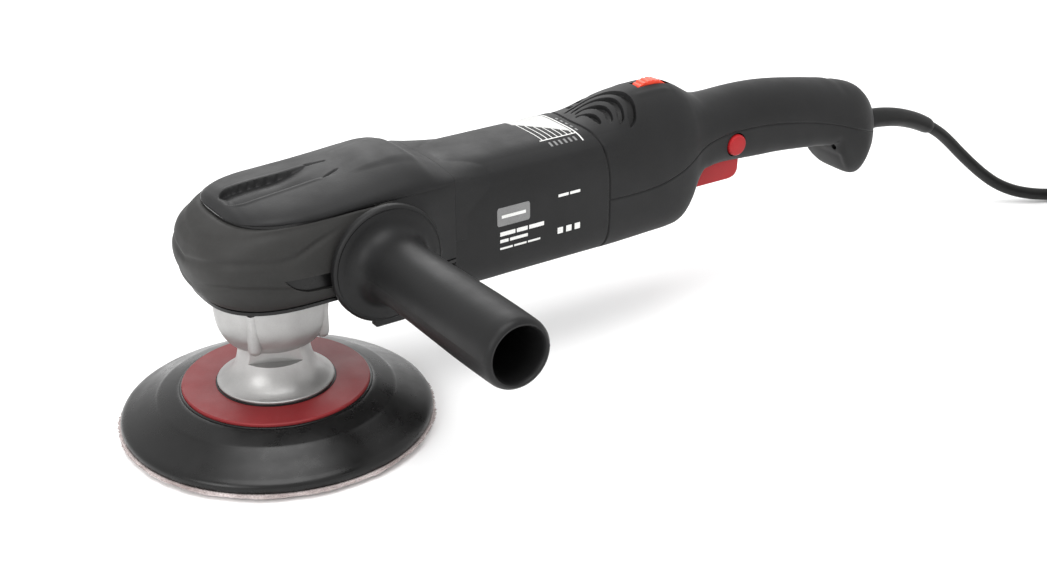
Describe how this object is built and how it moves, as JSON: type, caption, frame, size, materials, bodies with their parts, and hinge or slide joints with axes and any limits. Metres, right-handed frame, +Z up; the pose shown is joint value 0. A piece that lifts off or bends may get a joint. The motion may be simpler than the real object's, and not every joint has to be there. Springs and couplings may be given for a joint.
{
  "type": "rotary polisher",
  "caption": "Corded rotary polisher: backing pad on a geared vertical spindle, in-line motor body, side handle, speed dial, lock button and trigger in a hooked rear handle.",
  "frame": {"origin": "centre of the backing pad working face, on the spindle axis; the pad face lies on the surface z = 0", "axes": "+X runs back along the body to the rear handle and cord, -Y is the side that carries the side handle, +Z is up the spindle"},
  "size_m": [0.6568, 0.2338, 0.1309],
  "materials": {
    "hook_loop": "short woven hook loops, pale pinkish grey",
    "pad_rubber": "moulded black rubber, satin",
    "stiffener": "glass filled nylon",
    "red_ring": "satin red moulded cover",
    "cast_alloy": "fine cast and machined alloy, satin",
    "steel": "ground steel",
    "screw_steel": "zinc plated steel",
    "laminations": "stacked electrical steel",
    "copper": "enamelled copper wire",
    "brass": "bright brass",
    "carbon": "pressed carbon",
    "fan_plastic": "glass filled nylon",
    "circuit": "potted circuit board",
    "bumper_rubber": "soft grey-black overmoulded rubber",
    "body_plastic": "fine textured black nylon",
    "grip_plastic": "fine textured black grip",
    "red_plastic": "satin red plastic",
    "dial_red": "satin orange-red plastic",
    "cord_rubber": "smooth black rubber"
  },
  "bodies": {
    "housing": {"gear_case": "cast_alloy", "base_plate": "cast_alloy", "spindle_flange": "cast_alloy", "flange_screws": "screw_steel", "spindle_seal": "pad_rubber", "spindle_lower_bearing": "steel", "spindle_upper_bearing": "steel", "layshaft_lower_bearing": "steel", "layshaft_upper_bearing": "steel", "armature_front_bearing": "steel", "armature_rear_bearing": "steel", "head_gasket": "pad_rubber", "head_bumper": "bumper_rubber", "head_top_cover": "body_plastic", "gear_case_screws": "screw_steel", "motor_housing": "body_plastic", "stator_core": "laminations", "field_windings": "copper", "fan_baffle": "fan_plastic", "rear_bearing_bracket": "fan_plastic", "brush_holders": "brass", "carbon_brushes": "carbon", "brush_springs": "steel", "rear_housing_upper": "body_plastic", "rear_housing_lower": "body_plastic", "rear_housing_screws": "screw_steel", "switch_module": "fan_plastic", "speed_controller": "circuit", "cord_clamp": "steel", "side_handle_grip": "grip_plastic", "side_handle_stud": "steel", "trigger_pin": "steel", "dial_pin": "steel", "strain_relief": "cord_rubber", "cord_lead": "cord_rubber", "cord_coil": "cord_rubber", "cord_tie": "cord_rubber", "plug_body": "cord_rubber", "plug_pins": "brass"},
    "spindle": {"pad_hook_face": "hook_loop", "pad_disc": "pad_rubber", "pad_stiffener": "stiffener", "pad_ring": "red_ring", "pad_hub": "cast_alloy", "spindle": "steel", "spindle_gear": "steel", "lock_ring": "steel"},
    "layshaft": {"layshaft": "steel", "bevel_wheel": "steel"},
    "armature": {"armature_shaft": "steel", "bevel_pinion": "steel", "armature_core": "laminations", "armature_windings": "copper", "commutator": "copper", "cooling_fan": "fan_plastic"},
    "trigger": {"trigger": "red_plastic"},
    "lock_button": {"lock_button": "red_plastic"},
    "speed_dial": {"speed_dial": "dial_red"},
    "spindle_lock": {"spindle_lock": "grip_plastic"}
  },
  "joints": [
    {"name": "spindle_spin", "type": "hinge", "parent": "housing", "child": "spindle", "pos_m": [0, 0, 0.06], "axis": [0, 0, 1], "continuous": true},
    {"name": "layshaft_spin", "type": "hinge", "parent": "housing", "child": "layshaft", "pos_m": [0.035, 0, 0.09], "axis": [0, 0, 1], "continuous": true},
    {"name": "armature_spin", "type": "hinge", "parent": "housing", "child": "armature", "pos_m": [0.1, 0, 0.089], "axis": [1, 0, 0], "continuous": true},
    {"name": "trigger_squeeze", "type": "hinge", "parent": "housing", "child": "trigger", "pos_m": [0.252, 0, 0.084], "axis": [0, -1, 0], "range_deg": [0, 7], "stiffness_Nm_per_rad": 0.4, "springref_deg": -17.19},
    {"name": "lock_button_press", "type": "slide", "parent": "housing", "child": "lock_button", "axis": [0, 1, 0], "range_m": [0, 0.003], "stiffness_N_per_m": 400, "springref_m": -0.003},
    {"name": "speed_dial_turn", "type": "hinge", "parent": "housing", "child": "speed_dial", "pos_m": [0.221, 0, 0.1169], "axis": [0, 1, 0], "range_deg": [-110, 110]},
    {"name": "spindle_lock_press", "type": "slide", "parent": "housing", "child": "spindle_lock", "axis": [0, -1, 0], "range_m": [0, 0.003], "stiffness_N_per_m": 400, "springref_m": -0.003}
  ],
  "couplings": [
    {"joint": "layshaft_spin", "follows": "spindle_spin", "ratio": -4.6},
    {"joint": "armature_spin", "follows": "spindle_spin", "ratio": 11.5}
  ]
}
